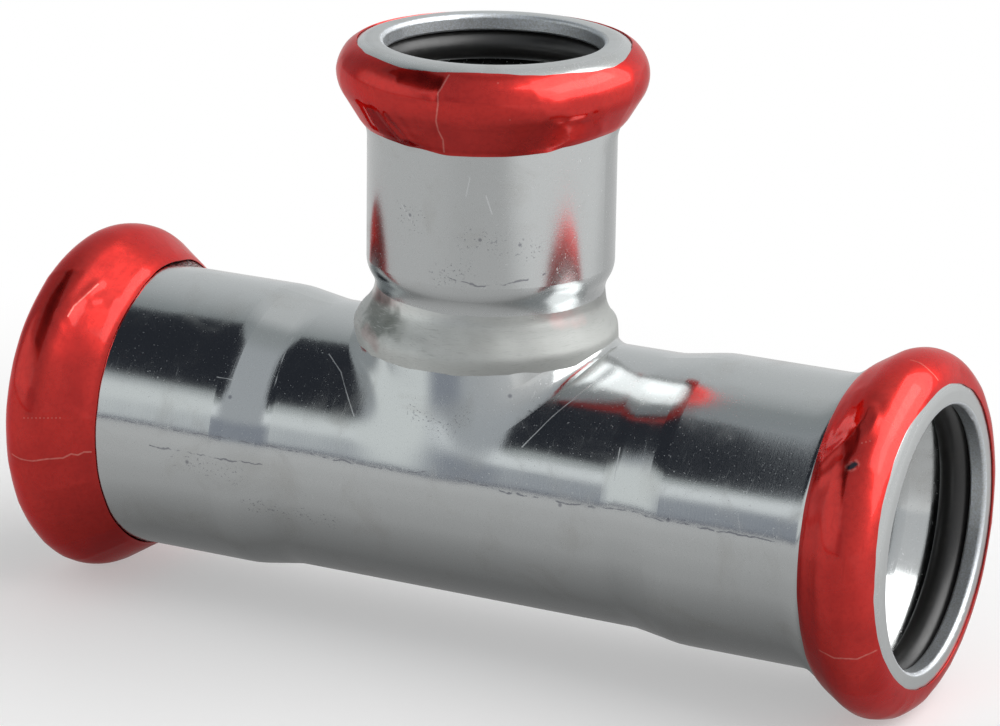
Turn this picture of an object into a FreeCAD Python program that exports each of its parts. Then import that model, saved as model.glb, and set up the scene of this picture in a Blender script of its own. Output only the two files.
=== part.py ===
import FreeCAD, Part
import math
import os

os.makedirs("parts", exist_ok=True)

# A reducing press tee in millimetres. The run lies along X, the branch stands up +Z,
# and the origin is where their two axes cross.

# Pipes that the fitting takes, and the play of each in its socket, on the radius
run_pipe_radius = 11.0
branch_pipe_radius = 9.0
run_play = 0.125
branch_play = 0.2

# Reach of the mouths from the crossing of the axes. The photo shows the left one a little nearer.
run_left_reach = 41.1
run_right_reach = 42.0
branch_height = 37.7

# Sheet that the sockets are formed from
wall = 1.5

# Press beads: a round crown over the sealing ring, then a straight slope down to the socket
run_seal_section = 3.0
branch_seal_section = 2.6
chamber_gap = 0.05
bead_slope = math.radians(31.4)
toe_round = 3.0

# Mouth: the sheet ends in a cut edge that faces the pipe
mouth_play = 0.175
lip_front_round = 0.4
lip_back_round = 0.2

# Pipe stops: behind the end of its pipe a socket draws in by the drop, in two equal bends
# with a straight slope between them. The branch's stop ends where its neck comes down to the weld.
run_stop_depth = 20.1
run_stop_drop = 0.68
run_stop_bend = 8.0
run_stop_slope = math.radians(9)
branch_stop_drop = 0.8
branch_stop_bend = 2.65
branch_stop_slope = math.radians(32)

# Collar drawn up out of the run, at least the flank step in from the run's sides,
# and the spigot of the branch that stands in it
flank_step = 0.9
collar_wall = 1.05
collar_rise = 1.06
spigot_play = 0.03
spigot_setback = 0.45
saddle_round_front = 5.0
saddle_round_side = 0.7
collar_foot_round = 0.35

# Weld ring over the collar's rim
weld_cover = 0.35
weld_skirt = 1.8
weld_shoulder = 0.4
weld_rise = 2.9
weld_bulge = 0.35
weld_lip_round = 0.2

# Red film bands round the beads
film_thickness = 0.12
film_gap = 0.03
run_film_start = 0.7
branch_film_start = 1.5
left_film_width = 8.4
right_film_width = 6.9
branch_film_width = 7.3

# How far a cutting shape passes the face that it cuts
past = 1.0

origin = FreeCAD.Vector(0, 0, 0)
along_x = FreeCAD.Vector(1, 0, 0)
along_y = FreeCAD.Vector(0, 1, 0)
along_z = FreeCAD.Vector(0, 0, 1)
touching = 1e-6
corner_slack = 1e-3


def point(radius, depth):
    # In a socket's own section plane the axis is Z, and the mouth is at the top, at depth 0.
    return FreeCAD.Vector(radius, 0, -depth)


def arc(centre_radius, centre_depth, radius, first, last):
    # Angles turn from 0, straight out, towards the inside of the fitting.
    def at(angle):
        return point(centre_radius + radius * math.cos(angle), centre_depth + radius * math.sin(angle))

    return Part.Arc(at(first), at((first + last) / 2), at(last)).toShape()


def closed_face(parts):
    # The parts are points and arcs in order, and straight lines join each to the next.
    edges = []
    ends = []
    for part in parts:
        if isinstance(part, FreeCAD.Vector):
            ends.append((part, part))
        else:
            edges.append(part)
            ends.append((part.firstVertex().Point, part.lastVertex().Point))
    for (_, start), (end, _) in zip(ends, ends[1:] + ends[:1]):
        if start.distanceToPoint(end) > touching:
            edges.append(Part.LineSegment(start, end).toShape())
    return Part.Face(Part.Wire(Part.__sortEdges__(edges)))


def turned(face):
    return face.revolve(origin, along_z, 360)


def stop_turn(drop, bend, slope):
    # How far the sheet turns: to the slope, or less where the two bends alone make up the drop.
    return min(slope, math.acos(1 - drop / 2 / bend))


def stop_length(drop, bend, slope):
    turn = stop_turn(drop, bend, slope)
    straight_drop = drop - 2 * bend * (1 - math.cos(turn))
    return 2 * bend * math.sin(turn) + straight_drop / math.tan(turn)


class Socket:
    # One socket, with its sizes worked out from the pipe, the sealing ring and the sheet.
    def __init__(self, pipe_radius, play, seal_section, stop_drop, stop_bend, stop_slope, stop_end, end):
        self.bore = pipe_radius + play
        self.outer = self.bore + wall
        self.mouth = self.bore + mouth_play
        self.seal_radius = seal_section / 2
        self.bead_radius = pipe_radius + self.seal_radius
        self.bead_round = self.seal_radius + chamber_gap + wall
        toe_reach = self.outer + toe_round - self.bead_radius
        slope_reach = self.bead_round + toe_round - toe_reach * math.cos(bead_slope)
        self.toe_depth = self.bead_round + slope_reach / math.sin(bead_slope)
        self.neck_outer = self.outer - stop_drop
        self.neck_bore = self.neck_outer - wall
        self.stop_bend = stop_bend
        self.stop_turn = stop_turn(stop_drop, stop_bend, stop_slope)
        self.stop_end = stop_end
        self.stop_depth = stop_end - stop_length(stop_drop, stop_bend, stop_slope)
        self.end = end

    def region(self, shift):
        # All that lies within the sheet's outer face, when that face is moved out by shift.
        crown = arc(self.bead_radius, self.bead_round, self.bead_round + shift, -math.pi / 2, bead_slope)
        toe = arc(self.outer + toe_round, self.toe_depth, shift - toe_round, bead_slope, 0)
        stop = arc(self.outer - self.stop_bend, self.stop_depth, self.stop_bend + shift, 0, self.stop_turn)
        neck = arc(self.neck_outer + self.stop_bend, self.stop_end, shift - self.stop_bend, self.stop_turn, 0)
        neck_foot = point(self.neck_outer + shift, self.end)
        return closed_face([point(0, -shift), crown, toe, stop, neck, neck_foot, point(0, self.end)])

    def sheet(self):
        # The wall of the whole socket, open at its mouth, with the cut edge's corners rounded.
        solid = turned(self.region(0).cut(self.region(-wall)))
        solid = solid.cut(Part.makeCylinder(self.mouth, wall, point(0, wall)))
        for depth, round_ in ((0, lip_front_round), (wall, lip_back_round)):
            corner = [e for e in solid.Edges if lies_on_ring(e, self.mouth, depth)]
            solid = solid.makeFillet(round_, corner)
        return solid

    def seal(self):
        return Part.makeTorus(self.bead_radius, self.seal_radius, point(0, self.bead_round))

    def film(self, start, width):
        # A band that follows the bead from its front, outside the seal's centre line, to this depth.
        band = self.region(film_gap + film_thickness).cut(self.region(film_gap))
        band = band.cut(rectangle(self.bead_radius + start, -wall, self.bead_round))
        band = band.cut(rectangle(2 * self.bead_radius, width, self.end))
        return turned(band)


def rectangle(radius, first_depth, last_depth):
    corners = [point(0, first_depth), point(radius, first_depth), point(radius, last_depth), point(0, last_depth)]
    return closed_face(corners)


def lies_on_ring(edge, radius, depth):
    # True for a circle about the socket's axis, at this radius and depth.
    middle = edge.valueAt((edge.FirstParameter + edge.LastParameter) / 2)
    at_radius = abs(math.hypot(middle.x, middle.y) - radius) < touching
    return at_radius and all(abs(p.z + depth) < touching for p in [middle] + [v.Point for v in edge.Vertexes])


def edge_between(shape, start, end):
    # The one edge that joins two known corners, and whether it runs from start to end.
    for edge in shape.Edges:
        first = edge.valueAt(edge.FirstParameter)
        last = edge.valueAt(edge.LastParameter)
        if max(first.distanceToPoint(start), last.distanceToPoint(end)) < corner_slack:
            return edge, True
        if max(first.distanceToPoint(end), last.distanceToPoint(start)) < corner_slack:
            return edge, False
    raise ValueError("no edge joins these corners")


def rounded_between(shape, start, end, start_round, end_round):
    # Rounds one edge, with the radius growing evenly from start to end.
    edge, forward = edge_between(shape, start, end)
    if forward:
        return shape.makeFillet(start_round, end_round, [edge])
    return shape.makeFillet(end_round, start_round, [edge])


def at_mouth(shape, tilt, place):
    moved = shape.copy()
    moved.Placement = FreeCAD.Placement(place, FreeCAD.Rotation(along_y, tilt))
    return moved


def at_right(shape):
    return at_mouth(shape, 90, FreeCAD.Vector(run_right_reach, 0, 0))


def at_left(shape):
    return at_mouth(shape, -90, FreeCAD.Vector(-run_left_reach, 0, 0))


def at_branch(shape):
    return at_mouth(shape, 0, FreeCAD.Vector(0, 0, branch_height))


def saddle_corners(post_radius, tube_radius):
    # Where a post up the branch axis leaves the tube: at the tube's flank, and on its crown.
    flank = FreeCAD.Vector(0, -post_radius, math.sqrt(tube_radius**2 - post_radius**2))
    crown = FreeCAD.Vector(post_radius, 0, tube_radius)
    return flank, crown


def half_body(run):
    # One quarter of the tube with its collar and its mirror image, on the right side.
    post = Part.makeCylinder(collar_outer, collar_top)
    post = post.cut(Part.makeCylinder(run.neck_bore, run.end, origin, along_x))
    reach = 2 * run.end
    room = Part.makeBox(reach, reach, reach, FreeCAD.Vector(0, -reach, -run.end))
    tube = at_mouth(run.sheet(), 90, FreeCAD.Vector(run.end, 0, 0))
    quarter = tube.fuse(post).common(room).removeSplitter()
    flank, crown = saddle_corners(collar_outer, run.neck_outer)
    quarter = rounded_between(quarter, flank, crown, saddle_round_front, saddle_round_side)
    quarter = quarter.cut(Part.makeCylinder(collar_bore, collar_top + past))
    flank, crown = saddle_corners(collar_bore, run.neck_bore)
    quarter = rounded_between(quarter, flank, crown, collar_foot_round, collar_foot_round)
    return quarter.fuse(quarter.mirror(origin, along_y))


def run_body():
    return half_body(right_run).fuse(half_body(left_run).mirror(origin, along_x)).removeSplitter()


def weld_bead(body):
    # A ring on the collar's rim, with a skirt down over the collar, cut to the run where it meets it.
    foot = collar_outer + weld_cover
    shoulder = collar_top - weld_shoulder
    top = FreeCAD.Vector(branch.neck_outer, 0, weld_top)
    low = FreeCAD.Vector(foot, 0, shoulder)
    chord = low - top
    outward = FreeCAD.Vector(-chord.z, 0, chord.x).normalize()
    middle = (top + low) * 0.5 + outward * weld_bulge
    slope = Part.Arc(top, middle, low).toShape()
    skirt = collar_top - weld_skirt
    rest = [(foot, skirt), (collar_outer, skirt), (collar_outer, collar_top), (branch.neck_outer, collar_top)]
    ring = turned(closed_face([slope] + [FreeCAD.Vector(x, 0, z) for x, z in rest]))
    lip = [e for e in ring.Edges if lies_on_ring(e, foot, -skirt)]
    return ring.makeFillet(weld_lip_round, lip).cut(body)


run_stop_end = run_stop_depth + stop_length(run_stop_drop, run_stop_bend, run_stop_slope)
left_run, right_run = [
    Socket(
        run_pipe_radius, run_play, run_seal_section,
        run_stop_drop, run_stop_bend, run_stop_slope, run_stop_end, reach
    )
    for reach in (run_left_reach, run_right_reach)
]
collar_top = right_run.neck_outer + collar_rise
weld_top = collar_top + weld_rise
widest_spigot = right_run.neck_outer - flank_step - collar_wall - spigot_play
branch_outer = branch_pipe_radius + branch_play + wall
branch_drop = max(branch_stop_drop, branch_outer - widest_spigot)
spigot_end = branch_height - right_run.neck_bore - spigot_setback
branch = Socket(
    branch_pipe_radius, branch_play, branch_seal_section,
    branch_drop, branch_stop_bend, branch_stop_slope, branch_height - weld_top, spigot_end
)
collar_bore = branch.neck_outer + spigot_play
collar_outer = collar_bore + collar_wall

body = run_body()
nodes = {
    "run_body": body,
    "branch_socket": at_branch(branch.sheet()),
    "weld_bead": weld_bead(body),
    "seal_left": at_left(left_run.seal()),
    "seal_right": at_right(right_run.seal()),
    "seal_branch": at_branch(branch.seal()),
    "film_left": at_left(left_run.film(run_film_start, left_film_width)),
    "film_right": at_right(right_run.film(run_film_start, right_film_width)),
    "film_branch": at_branch(branch.film(branch_film_start, branch_film_width)),
}

for name, shape in nodes.items():
    shape.exportStep(f"parts/{name}.step")
    print(name, len(shape.Solids), "solid", round(shape.Volume, 2), "mm3", "valid" if shape.isValid() else "faulty")
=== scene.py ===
import math
import bpy
from mathutils import Matrix, Vector, noise
from mathutils.bvhtree import BVHTree


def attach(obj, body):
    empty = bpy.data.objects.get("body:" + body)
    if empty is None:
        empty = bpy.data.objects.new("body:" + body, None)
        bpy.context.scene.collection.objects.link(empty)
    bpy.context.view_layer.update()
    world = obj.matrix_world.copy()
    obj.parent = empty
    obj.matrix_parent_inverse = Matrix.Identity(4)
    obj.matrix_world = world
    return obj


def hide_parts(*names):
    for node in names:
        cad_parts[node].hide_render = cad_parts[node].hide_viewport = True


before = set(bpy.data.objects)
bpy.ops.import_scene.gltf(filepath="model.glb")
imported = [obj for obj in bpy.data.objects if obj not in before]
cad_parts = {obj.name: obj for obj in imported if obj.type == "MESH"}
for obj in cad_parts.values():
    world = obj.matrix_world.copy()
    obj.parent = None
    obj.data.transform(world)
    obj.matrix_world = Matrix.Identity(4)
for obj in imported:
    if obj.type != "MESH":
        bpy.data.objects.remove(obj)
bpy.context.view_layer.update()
mm = 0.001
print("frame loaded:", len(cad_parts), "CAD nodes")

# Camera, fitted to the photograph's picture of the mouths and tubes (mm and degrees)
photoCamera = {
    "azimuth": 26.44,
    "elevation": 18.10,
    "roll": 0.90,
    "distance": 356.3,
    "aim": (2.14, 0.0, 5.38),
    "lens": 147.67,
    "shift": (-0.0107, 0.0419),
    "picture": (1000, 726),      # pixels
    "sensor": 36,
    "clip": (0.01, 50),          # metres
}


def wayTo(turn, rise):
    # the direction so many degrees round from the front and up
    turn, rise = math.radians(turn), math.radians(rise)
    return Vector((math.sin(turn) * math.cos(rise), -math.cos(turn) * math.cos(rise), math.sin(rise)))


def makeCamera(setup):
    away = wayTo(setup["azimuth"], setup["elevation"])
    data = bpy.data.cameras.new("photoCamera")
    data.lens = setup["lens"]
    data.sensor_width = setup["sensor"]
    data.shift_x, data.shift_y = setup["shift"]
    data.clip_start, data.clip_end = setup["clip"]
    made = bpy.data.objects.new("photoCamera", data)
    place = (Vector(setup["aim"]) + away * setup["distance"]) * mm
    look = away.to_track_quat("Z", "Y").to_matrix().to_4x4()
    rolled = Matrix.Rotation(math.radians(setup["roll"]), 4, "Z")
    made.matrix_world = Matrix.Translation(place) @ look @ rolled
    bpy.context.scene.collection.objects.link(made)
    bpy.context.scene.camera = made
    bpy.context.view_layer.update()
    return made


camera = makeCamera(photoCamera)
modelled = bpy.context.evaluated_depsgraph_get()
nodeTrees = [BVHTree.FromObject(node, modelled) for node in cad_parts.values()]


def seenAt(across, down):
    # the point of the fitting, in mm, that the photograph shows at this pixel
    wide, high = photoCamera["picture"]
    shiftX, shiftY = photoCamera["shift"]
    reach = photoCamera["sensor"] / photoCamera["lens"]
    side = (across / wide - 0.5 + shiftX) * reach
    up = ((0.5 - down / high) * high / wide + shiftY) * reach
    ray = camera.matrix_world.to_3x3() @ Vector((side, up, -1.0))
    hits = [tree.ray_cast(camera.matrix_world.translation, ray.normalized()) for tree in nodeTrees]
    hits = sorted((hit[3], tuple(hit[0])) for hit in hits if hit[0] is not None)
    if not hits:
        raise ValueError(f"pixel {across}, {down} misses the fitting")
    return Vector(hits[0][1]) / mm


def seenLine(pixels, step=22):
    # points on the surface under a line drawn on the photograph, about one every step pixels
    points = [seenAt(*pixels[0])]
    for (x, y), (nextX, nextY) in zip(pixels, pixels[1:]):
        parts = max(1, round(math.hypot(nextX - x, nextY - y) / step))
        for i in range(1, parts + 1):
            points.append(seenAt(x + (nextX - x) * i / parts, y + (nextY - y) * i / parts))
    return points


print("camera set")


class Wire:
    # a node's output, so that sums in a shader are written as plain Python
    def __init__(self, finish, socket):
        self.finish, self.socket = finish, socket

    def __add__(self, other):
        return self.finish.sum("ADD", self, other)

    def __mul__(self, other):
        return self.finish.sum("MULTIPLY", self, other)

    def __sub__(self, other):
        return self.finish.sum("SUBTRACT", self, other)

    def __rsub__(self, other):
        return self.finish.sum("SUBTRACT", other, self)

    def __truediv__(self, other):
        return self.finish.sum("DIVIDE", self, other)

    def __rtruediv__(self, other):
        return self.finish.sum("DIVIDE", other, self)

    def __pow__(self, other):
        return self.finish.sum("POWER", self, other)

    def __rpow__(self, other):
        return self.finish.sum("POWER", other, self)

    def __abs__(self):
        return self.finish.sum("ABSOLUTE", self)

    __radd__, __rmul__ = __add__, __mul__


class Finish:
    # one material, or the world, and its nodes
    def __init__(self, name, world=None):
        self.made = world or bpy.data.materials.new(name)
        self.made.use_nodes = True
        self.tree = self.made.node_tree
        self.tree.nodes.clear()
        self.output = "OutputWorld" if world else "OutputMaterial"

    def node(self, kind, settings=None, values=(), out=0):
        # settings come first, then the sockets' values or wires, by name or in their order
        made = self.tree.nodes.new("ShaderNode" + kind)
        for key, value in (settings or {}).items():
            if key == "stops":
                self.setStops(made.color_ramp.elements, value)
            else:
                setattr(made, key, value)
        sockets = [s for s in made.inputs if s.enabled]
        if isinstance(values, dict):
            pairs = [(next(s for s in sockets if s.name == name), value) for name, value in values.items()]
        else:
            pairs = list(zip(sockets, values))
        for socket, value in pairs:
            if isinstance(value, Wire):
                self.tree.links.new(value.socket, socket)
            elif value is not None:
                socket.default_value = (*value, 1) if socket.type == "RGBA" and len(value) == 3 else value
        outputs = [s for s in made.outputs if s.enabled]
        if not outputs:
            return None
        return Wire(self, outputs[out] if isinstance(out, int) else next(s for s in outputs if s.name == out))

    def setStops(self, stops, pairs):
        # the places and colours of a ramp, from its left end to its right end
        stops[0].position, stops[-1].position = pairs[0][0], pairs[-1][0]
        stops[0].color, stops[-1].color = (*pairs[0][1], 1), (*pairs[-1][1], 1)
        for where, level in pairs[1:-1]:
            stops.new(where).color = (*level, 1)

    def sum(self, operation, *values):
        return self.node("Math", {"operation": operation}, values)

    def vector(self, operation, *values, out=0):
        return self.node("VectorMath", {"operation": operation}, values, out)

    def most(self, wires):
        # the highest of several numbers
        top = wires[0]
        for wire in wires[1:]:
            top = self.sum("MAXIMUM", top, wire)
        return top

    def strongest(self, masks, shares):
        # the highest of the masks named in shares, each by its own share
        return self.most([masks[kind] * share for kind, share in shares.items()])

    def hypot(self, first, second):
        return (first * first + second * second) ** 0.5

    def toward(self, x, y, z):
        # the direction that has these three parts
        return self.vector("NORMALIZE", self.node("CombineXYZ", values=[x, y, z]))

    def place(self, stretch=(1, 1, 1)):
        # where the surface point is, in mm; a stretch over 1 squeezes the pattern along that axis
        spot = self.node("TexCoord", out="Object")
        return self.vector("MULTIPLY", spot, tuple(s / mm for s in stretch))

    def split(self, spot):
        parts = self.node("SeparateXYZ", values=[spot])
        return [Wire(self, s) for s in parts.socket.node.outputs]

    def noiseAt(self, spot, scale=1.0, detail=2.0, roughness=0.5, warp=0.0, out=0):
        values = {"Vector": spot, "Scale": scale, "Detail": detail, "Roughness": roughness}
        return self.node("TexNoise", {"noise_dimensions": "3D"}, {**values, "Distortion": warp}, out)

    def grain(self, size, detail=2.0, roughness=0.5, warp=0.0, stretch=(1, 1, 1)):
        # soft noise from 0 to 1 whose spots are about size mm across
        return self.noiseAt(self.place(stretch), 1 / size, detail, roughness, warp)

    def patches(self, grain, ends):
        # soft patches: 0 where the grain is at the first of the ends, 1 at the second
        return self.fade(self.grain(*grain), *ends)

    def hairs(self, width, length, lean, level, soft=0.05):
        # thin straight hairlines that all lean one way, about length mm long
        leaning = {"Vector": self.place(), "Rotation": lean}
        spot = self.node("VectorRotate", {"rotation_type": "EULER_XYZ"}, leaning)
        spot = self.vector("MULTIPLY", spot, (1 / width, 1 / length, 1 / length))
        return self.fade(self.noiseAt(spot, detail=1.0), level, level + soft)

    def fade(self, value, start, end, low=0.0, high=1.0):
        # goes from low to high as value goes from start to end
        return self.node("MapRange", {"interpolation_type": "SMOOTHSTEP"}, [value, start, end, low, high])

    def fadeFrom(self, value, base, steps):
        # goes from 0 to 1 between two values that are given by their steps from a base
        return self.fade(value, base + steps[0], base + steps[1])

    def blend(self, factor, first, second):
        return self.node("Mix", {"data_type": "RGBA"}, {"Factor": factor, "A": first, "B": second})

    def tinted(self, colour, value, ends, share, tint):
        # the colour, with so much of a tint where the value goes from one of the ends to the other
        return self.blend(self.fade(value, *ends) * share, colour, tint)

    def bump(self, height, normal=None):
        # height is in mm
        return self.node("Bump", values={"Strength": 1.0, "Distance": mm, "Height": height, "Normal": normal})

    def between(self, share, first, second):
        # a direction that turns from first to second
        mixed = self.node("Mix", {"data_type": "VECTOR"}, {"Factor": share, "A": first, "B": second})
        return self.vector("NORMALIZE", mixed)

    def scaled(self, vector, by):
        return self.node("VectorMath", {"operation": "SCALE"}, {"Vector": vector, "Scale": by})

    def stray(self, spot, far, scale=0.8, detail=3.0):
        # moves the spot by up to far mm each way, so that what is drawn from it has a ragged edge
        push = self.vector("SUBTRACT", self.noiseAt(spot, scale, detail, out="Color"), (0.5, 0.5, 0.5))
        return self.vector("ADD", spot, self.scaled(push, far * 2))

    def mark(self, points, width, ragged=0.0, core=0.35):
        # 1 on a line through these points, in mm, and 0 beside it; core is the part of its width that is full
        spot = self.place()
        if ragged:
            spot = self.stray(spot, ragged)
        nearest = None
        for start, end in zip(points, points[1:]):
            run = end - start
            offset = self.vector("SUBTRACT", spot, tuple(start))
            share = self.vector("DOT_PRODUCT", offset, tuple(run), out="Value") / run.length_squared
            share = self.sum("MINIMUM", self.sum("MAXIMUM", share, 0.0), 1.0)
            gap = self.vector("DISTANCE", offset, self.scaled(tuple(run), share), out="Value")
            nearest = gap if nearest is None else self.sum("MINIMUM", nearest, gap)
        return self.fade(nearest, width * core, width, 1.0, 0.0)

    def spots(self, pixels, width, core=0.3):
        # 1 at each of these places of the photograph, and 0 elsewhere
        gaps = [self.vector("DISTANCE", self.place(), tuple(seenAt(*pixel)), out="Value") for pixel in pixels]
        return self.most([self.fade(gap, width, width * core) for gap in gaps])

    def glow(self, colour, strength=1.0):
        return self.node("Emission", values={"Color": colour, "Strength": strength})

    def close(self, surface):
        self.node(self.output, values={"Surface": surface})
        return self.made

    def closeSolid(self, values):
        return self.close(self.node("BsdfPrincipled", values=values))


def repaint(nodeName, material):
    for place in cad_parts[nodeName].material_slots:
        place.material = material


def squeezed(along, much):
    # the stretch that squeezes a pattern along one axis: 0, 1 or 2
    return tuple(much if i == along else 1.0 for i in range(3))


# Zinc-plated steel, shared by the run and the branch. Sizes are in mm. A grain is given by the size of its
# spots, its detail, roughness and warp, patches by a grain and where in it they begin and are full, and a
# tint by where it begins and is full, how strong it is, and the colour
zincLook = {
    "colour": (0.475, 0.490, 0.490),
    "dullColour": (0.40, 0.40, 0.385),
    "haze": ((5.5, 4.0, 0.6, 0.6), (0.50, 0.75)),      # patches in which the plating is duller
    "hazeShare": 0.45,
    "hazeRoughness": 0.22,
    "speckGrain": (0.11, 3.0, 0.65),
    "speckDepth": 0.0021,
    "speckFade": (0.3, 0.8),
    "speckRough": 0.03,
    "speckTints": [((0.58, 0.76), 0.40, (0.62, 0.63, 0.63)), ((0.40, 0.26), 0.45, (0.24, 0.24, 0.23))],
    "lineWidth": 0.09,           # the forming lines round the tube
    "lineStretch": 26,
    "lineGrain": (3.0, 0.6),
    "lineDepth": 0.0019,
    "waveGrain": (6.0, 1.0, 0.4),
    "waveDepth": 0.035,

    # the cut edge of the sheet and the flat ring at each mouth, by steps from the mouth and its radii
    "edgeDepth": (-1.6, -1.4),
    "edgeOver": (0.12, 0.03),
    "edgeGrain": (0.16, 3.0, 0.7),
    "edgeFade": (0.35, 0.65),
    "edgeColour": (0.56, 0.59, 0.63),
    "edgeRough": 0.26,
    "edgeRelief": 0.02,
    "ringDepth": (-0.12, -0.02),
    "ringRough": 0.20,
    "boreOver": (0.3, 0.1),
    "boreShare": 0.7,
    "boreRoughness": 0.42,       # inside the sockets, where the plating is duller
    "toeStart": (-0.5, 0.1),     # the foot of each bead, whose small hollow is smoothed away
    "toeEnd": (3.0, 2.0),
    "toeSkin": (-0.3, -0.05),

    # wear all over; the dirt patches also break up the run's painted horizon reflection
    "hairWidth": 0.05,
    "hairLength": 2.6,
    "hairLeans": [(0.3, 0.2, 0.9), (0.9, 0.5, 2.1)],
    "hairLevel": 0.71,
    "dust": ((0.22, 2.0, 0.6), (0.66, 0.74)),
    "dirtAndHorizonReflection": ((1.1, 4.0), (0.28, 0.52)),
    "speckled": ((0.22, 2.0), (0.60, 0.68)),

    # what each kind of wear, and the run's painted horizon reflection, does to the colour and the roughness
    "brightWear": {"scratches": 0.45, "hairs": 0.12, "dust": 0.24},
    "brightColour": (0.74, 0.75, 0.76),
    "darkWearAndReflection": {"dirtAndHorizonReflection": 0.62, "speckled": 0.38, "pits": 0.6},
    "darkWearAndReflectionColour": (0.12, 0.12, 0.15),
    "roughWear": {"scratches": 0.28, "hairs": 0.10, "dust": 0.25, "speckled": 0.2, "dirtAndHorizonReflection": 0.2},
}

# Wear at its own places: lines and points are pixels of the photograph, widths are in mm
runMarks = {
    "roughness": 0.115,
    "scratches": {"width": 0.075, "lines": [
        [(293, 337), (283, 358), (276, 381), (268, 411)], [(329, 354), (341, 372), (347, 394), (354, 416)],
        [(217, 377), (234, 380)], [(522, 447), (553, 416), (591, 385)], [(620, 448), (617, 466), (614, 481)],
    ]},
    # painted reflection: the dark horizon line that the run mirrors, and a fainter line under it
    "dirtAndHorizonReflection": {"width": 0.11, "ragged": 0.35, "lines": [
        [
            (102, 417), (246, 442), (380, 468), (445, 475), (503, 491),
            (556, 502), (623, 510), (667, 521), (791, 544),
        ],
        [(150, 445), (205, 456), (262, 465)],
    ]},
    "speckled": {"width": 1.3, "lines": [
        [(178, 459), (205, 468), (238, 478)], [(412, 412), (439, 431), (462, 416)], [(250, 505), (330, 520)],
    ]},
    "pits": {"width": 0.26, "points": [(510, 396), (230, 397), (187, 462), (560, 505), (668, 520)]},
}
branchMarks = {
    "roughness": 0.16,
    "scratches": {"width": 0.075, "lines": [
        [(402, 205), (412, 222)], [(470, 178), (466, 196)], [(486, 196), (492, 214)],
    ]},
    # dirt: a dark line round the foot of the neck
    "dirtAndHorizonReflection": {"width": 0.11, "ragged": 0.34, "lines": [
        [(440, 273), (452, 279), (468, 284), (486, 286), (506, 284), (528, 279), (545, 274)],
    ]},
    "speckled": {"width": 1.6, "lines": [
        [(404, 212), (416, 220)], [(470, 240), (530, 250)], [(440, 276), (462, 272)],
    ]},
    "pits": {"width": 0.22, "points": [(410, 215), (480, 240), (520, 245)]},
}

# Each mouth's distance from where the axes cross, how much nearer the left one is, how far back from it
# the foot of its bead is, and the radii there (mm)
runMouth = {
    "mouth": 42.0, "leftShort": 0.9, "toe": 9.54,
    "edgeRadius": 11.5, "boreRadius": 11.125, "tubeRadius": 12.625,
}
branchMouth = {
    "mouth": 37.7, "leftShort": 0.0, "toe": 8.51,
    "edgeRadius": 9.575, "boreRadius": 9.2, "tubeRadius": 10.7,
}
# the foot of the neck, which the wire brush dulled as well, by heights from the run's axis
brushedNeck = {"from": 17.6, "to": 16.2, "wander": 1.2, "roughness": 0.30}
drawnCollar = {
    "runRadius": 11.945,
    "collarRadius": 10.98,
    "blend": 3.0,                # mm over which the collar's flank turns into the run
    "lean": 0.26,                # how far the flank leans back from upright
    "leftLean": 0.30,            # and how much more on the left
    "leftFrom": (-4, -8),
    "round": (62, 42),           # degrees from the front or back, where the side's own shape takes over
    "rightRound": 15,            # and how much sooner on the right
    "rightFrom": (-2, 2),
    "upperHalf": (0.5, 3.0),
    "runSkin": (-0.4, -0.1),     # the outside faces alone, by mm from the two radii above
    "collarSkin": (-0.5, -0.1),
    "leftStep": (-21.6, -20.9, -15.3, -14.6),      # x of the left socket's step, which is a bit steeper
    "leftSteeper": 0.5,
}


def collarNormal(f, look):
    # drawing the collar out leaves no edge between its flank and the run, so the two directions blend
    x, y, z = f.split(f.place())
    own = f.node("NewGeometry", out="Normal")
    a, b, c, d = look["leftStep"]
    steeper = f.split(own)[0] * f.fade(x, a, b) * f.fade(x, d, c) * look["leftSteeper"]
    own = f.vector("NORMALIZE", f.vector("ADD", own, f.node("CombineXYZ", values=[steeper, 0.0, 0.0])))
    radius = f.hypot(x, y)
    runGap = f.hypot(y, z) - look["runRadius"]
    collarGap = radius - look["collarRadius"]
    lean = f.fade(x, *look["leftFrom"], look["lean"], look["lean"] + look["leftLean"])
    share = f.fade(collarGap - runGap, -look["blend"], look["blend"])
    blended = f.between(share, f.toward(x, y, radius * lean), f.toward(0.0, y, z))
    sooner = f.fade(x, *look["rightFrom"], 0.0, look["rightRound"])
    turned = f.sum("ARCTAN2", abs(x), abs(y)) * (180 / math.pi) + sooner
    where = f.fade(turned, *look["round"]) * f.fade(z, *look["upperHalf"])
    where = where * f.fade(runGap, *look["runSkin"]) * f.fade(collarGap, *look["collarSkin"])
    return f.between(where, own, blended)


def toeNormal(f, look, mouth, normal, reach, radius, outward):
    # the foot of the bead turns up later than its section's arc does
    toe = mouth["mouth"] - mouth["toe"]
    straight = f.fadeFrom(reach, toe, look["toeStart"]) * f.fadeFrom(reach, toe, look["toeEnd"])
    straight = straight * f.fadeFrom(radius, mouth["tubeRadius"], look["toeSkin"])
    return f.between(straight, normal, outward)


def zincWear(f, look, marks):
    # hairlines and dust all over, then what the photograph shows at its own places
    def marked(kind):
        width, ragged = marks[kind]["width"], marks[kind].get("ragged", 0.0)
        return f.most([f.mark(seenLine(pixels), width, ragged) for pixels in marks[kind]["lines"]])

    width, length, level = look["hairWidth"], look["hairLength"], look["hairLevel"]
    return {
        "hairs": f.most([f.hairs(width, length, lean, level) for lean in look["hairLeans"]]),
        "dust": f.patches(*look["dust"]),
        "scratches": marked("scratches"),
        # dirt, and on the run a painted reflection of the horizon line, broken up in patches
        "dirtAndHorizonReflection": marked("dirtAndHorizonReflection") * f.patches(*look["dirtAndHorizonReflection"]),
        "speckled": marked("speckled") * f.patches(*look["speckled"]),
        "pits": f.spots(marks["pits"]["points"], marks["pits"]["width"]),
    }


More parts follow.
